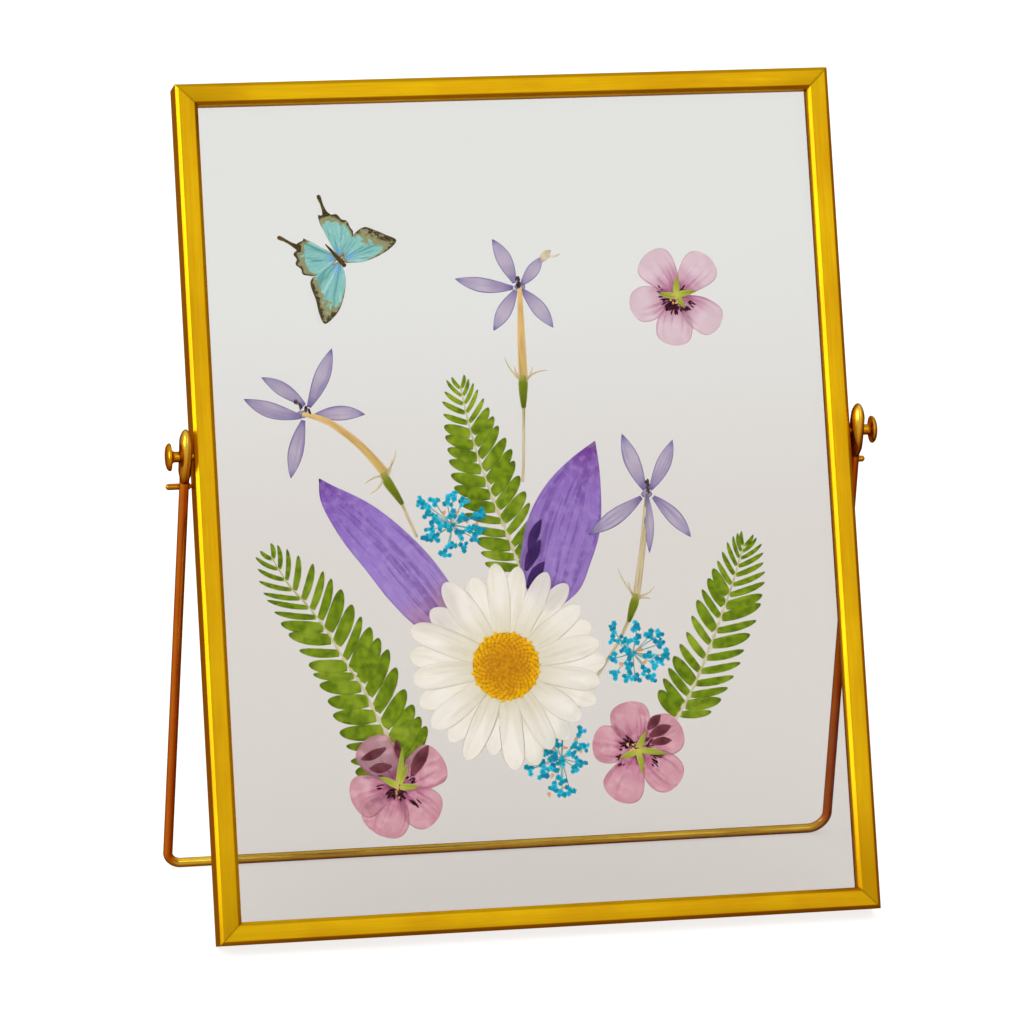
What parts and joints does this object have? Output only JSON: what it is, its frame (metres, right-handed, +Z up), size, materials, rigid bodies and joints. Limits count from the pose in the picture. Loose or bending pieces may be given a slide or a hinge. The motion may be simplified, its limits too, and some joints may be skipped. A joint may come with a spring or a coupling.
{
  "type": "pressed flower frame",
  "caption": "Double-glass display frame with pressed flowers, ferns and a butterfly held between the panes, leaning on a hinged U-shaped wire stand.",
  "frame": {"origin": "middle of the whole part's footprint, at the level it stands on", "axes": "+Z up, +X to the viewer's right, +Y from the front of the frame to its back"},
  "size_m": [0.1692, 0.0758, 0.1915],
  "materials": {
    "gold_metal": "satin gold, fine drawn grain along each bar",
    "gold_wire": "polished gold wire",
    "clear_glass": "clear flat glass",
    "lilac_petal": "dried petal, matt",
    "pink_petal": "dried petal, matt",
    "fern_leaf": "dried leaf, matt",
    "violet_petal": "dried petal, matt",
    "blue_floret": "dyed dried florets, matt",
    "ivory_petal": "dried petal, matt",
    "butterfly_wing": "scaled wing, satin"
  },
  "bodies": {
    "frame": {"frame_bar_top": "gold_metal", "frame_bar_bottom": "gold_metal", "frame_bar_left": "gold_metal", "frame_bar_right": "gold_metal", "hinge_pin_left": "gold_metal", "hinge_pin_right": "gold_metal", "stop_peg_left": "gold_metal", "stop_peg_right": "gold_metal", "glass_front": "clear_glass", "glass_back": "clear_glass", "star_flower_top": "lilac_petal", "star_flower_left": "lilac_petal", "star_flower_right": "lilac_petal", "pink_flower_top": "pink_petal", "pink_flower_left": "pink_petal", "pink_flower_right": "pink_petal", "fern_left": "fern_leaf", "fern_centre": "fern_leaf", "fern_right": "fern_leaf", "petal_left": "violet_petal", "petal_right": "violet_petal", "lace_flower_upper": "blue_floret", "lace_flower_right": "blue_floret", "lace_flower_lower": "blue_floret", "daisy": "ivory_petal", "butterfly": "butterfly_wing"},
    "stand": {"wire_stand": "gold_wire"}
  },
  "joints": [
    {"name": "stand_hinge", "type": "hinge", "parent": "frame", "child": "stand", "pos_m": [0, 0.0016, 0.10904], "axis": [-1, 0, 0], "range_deg": [0, 29.9]}
  ]
}
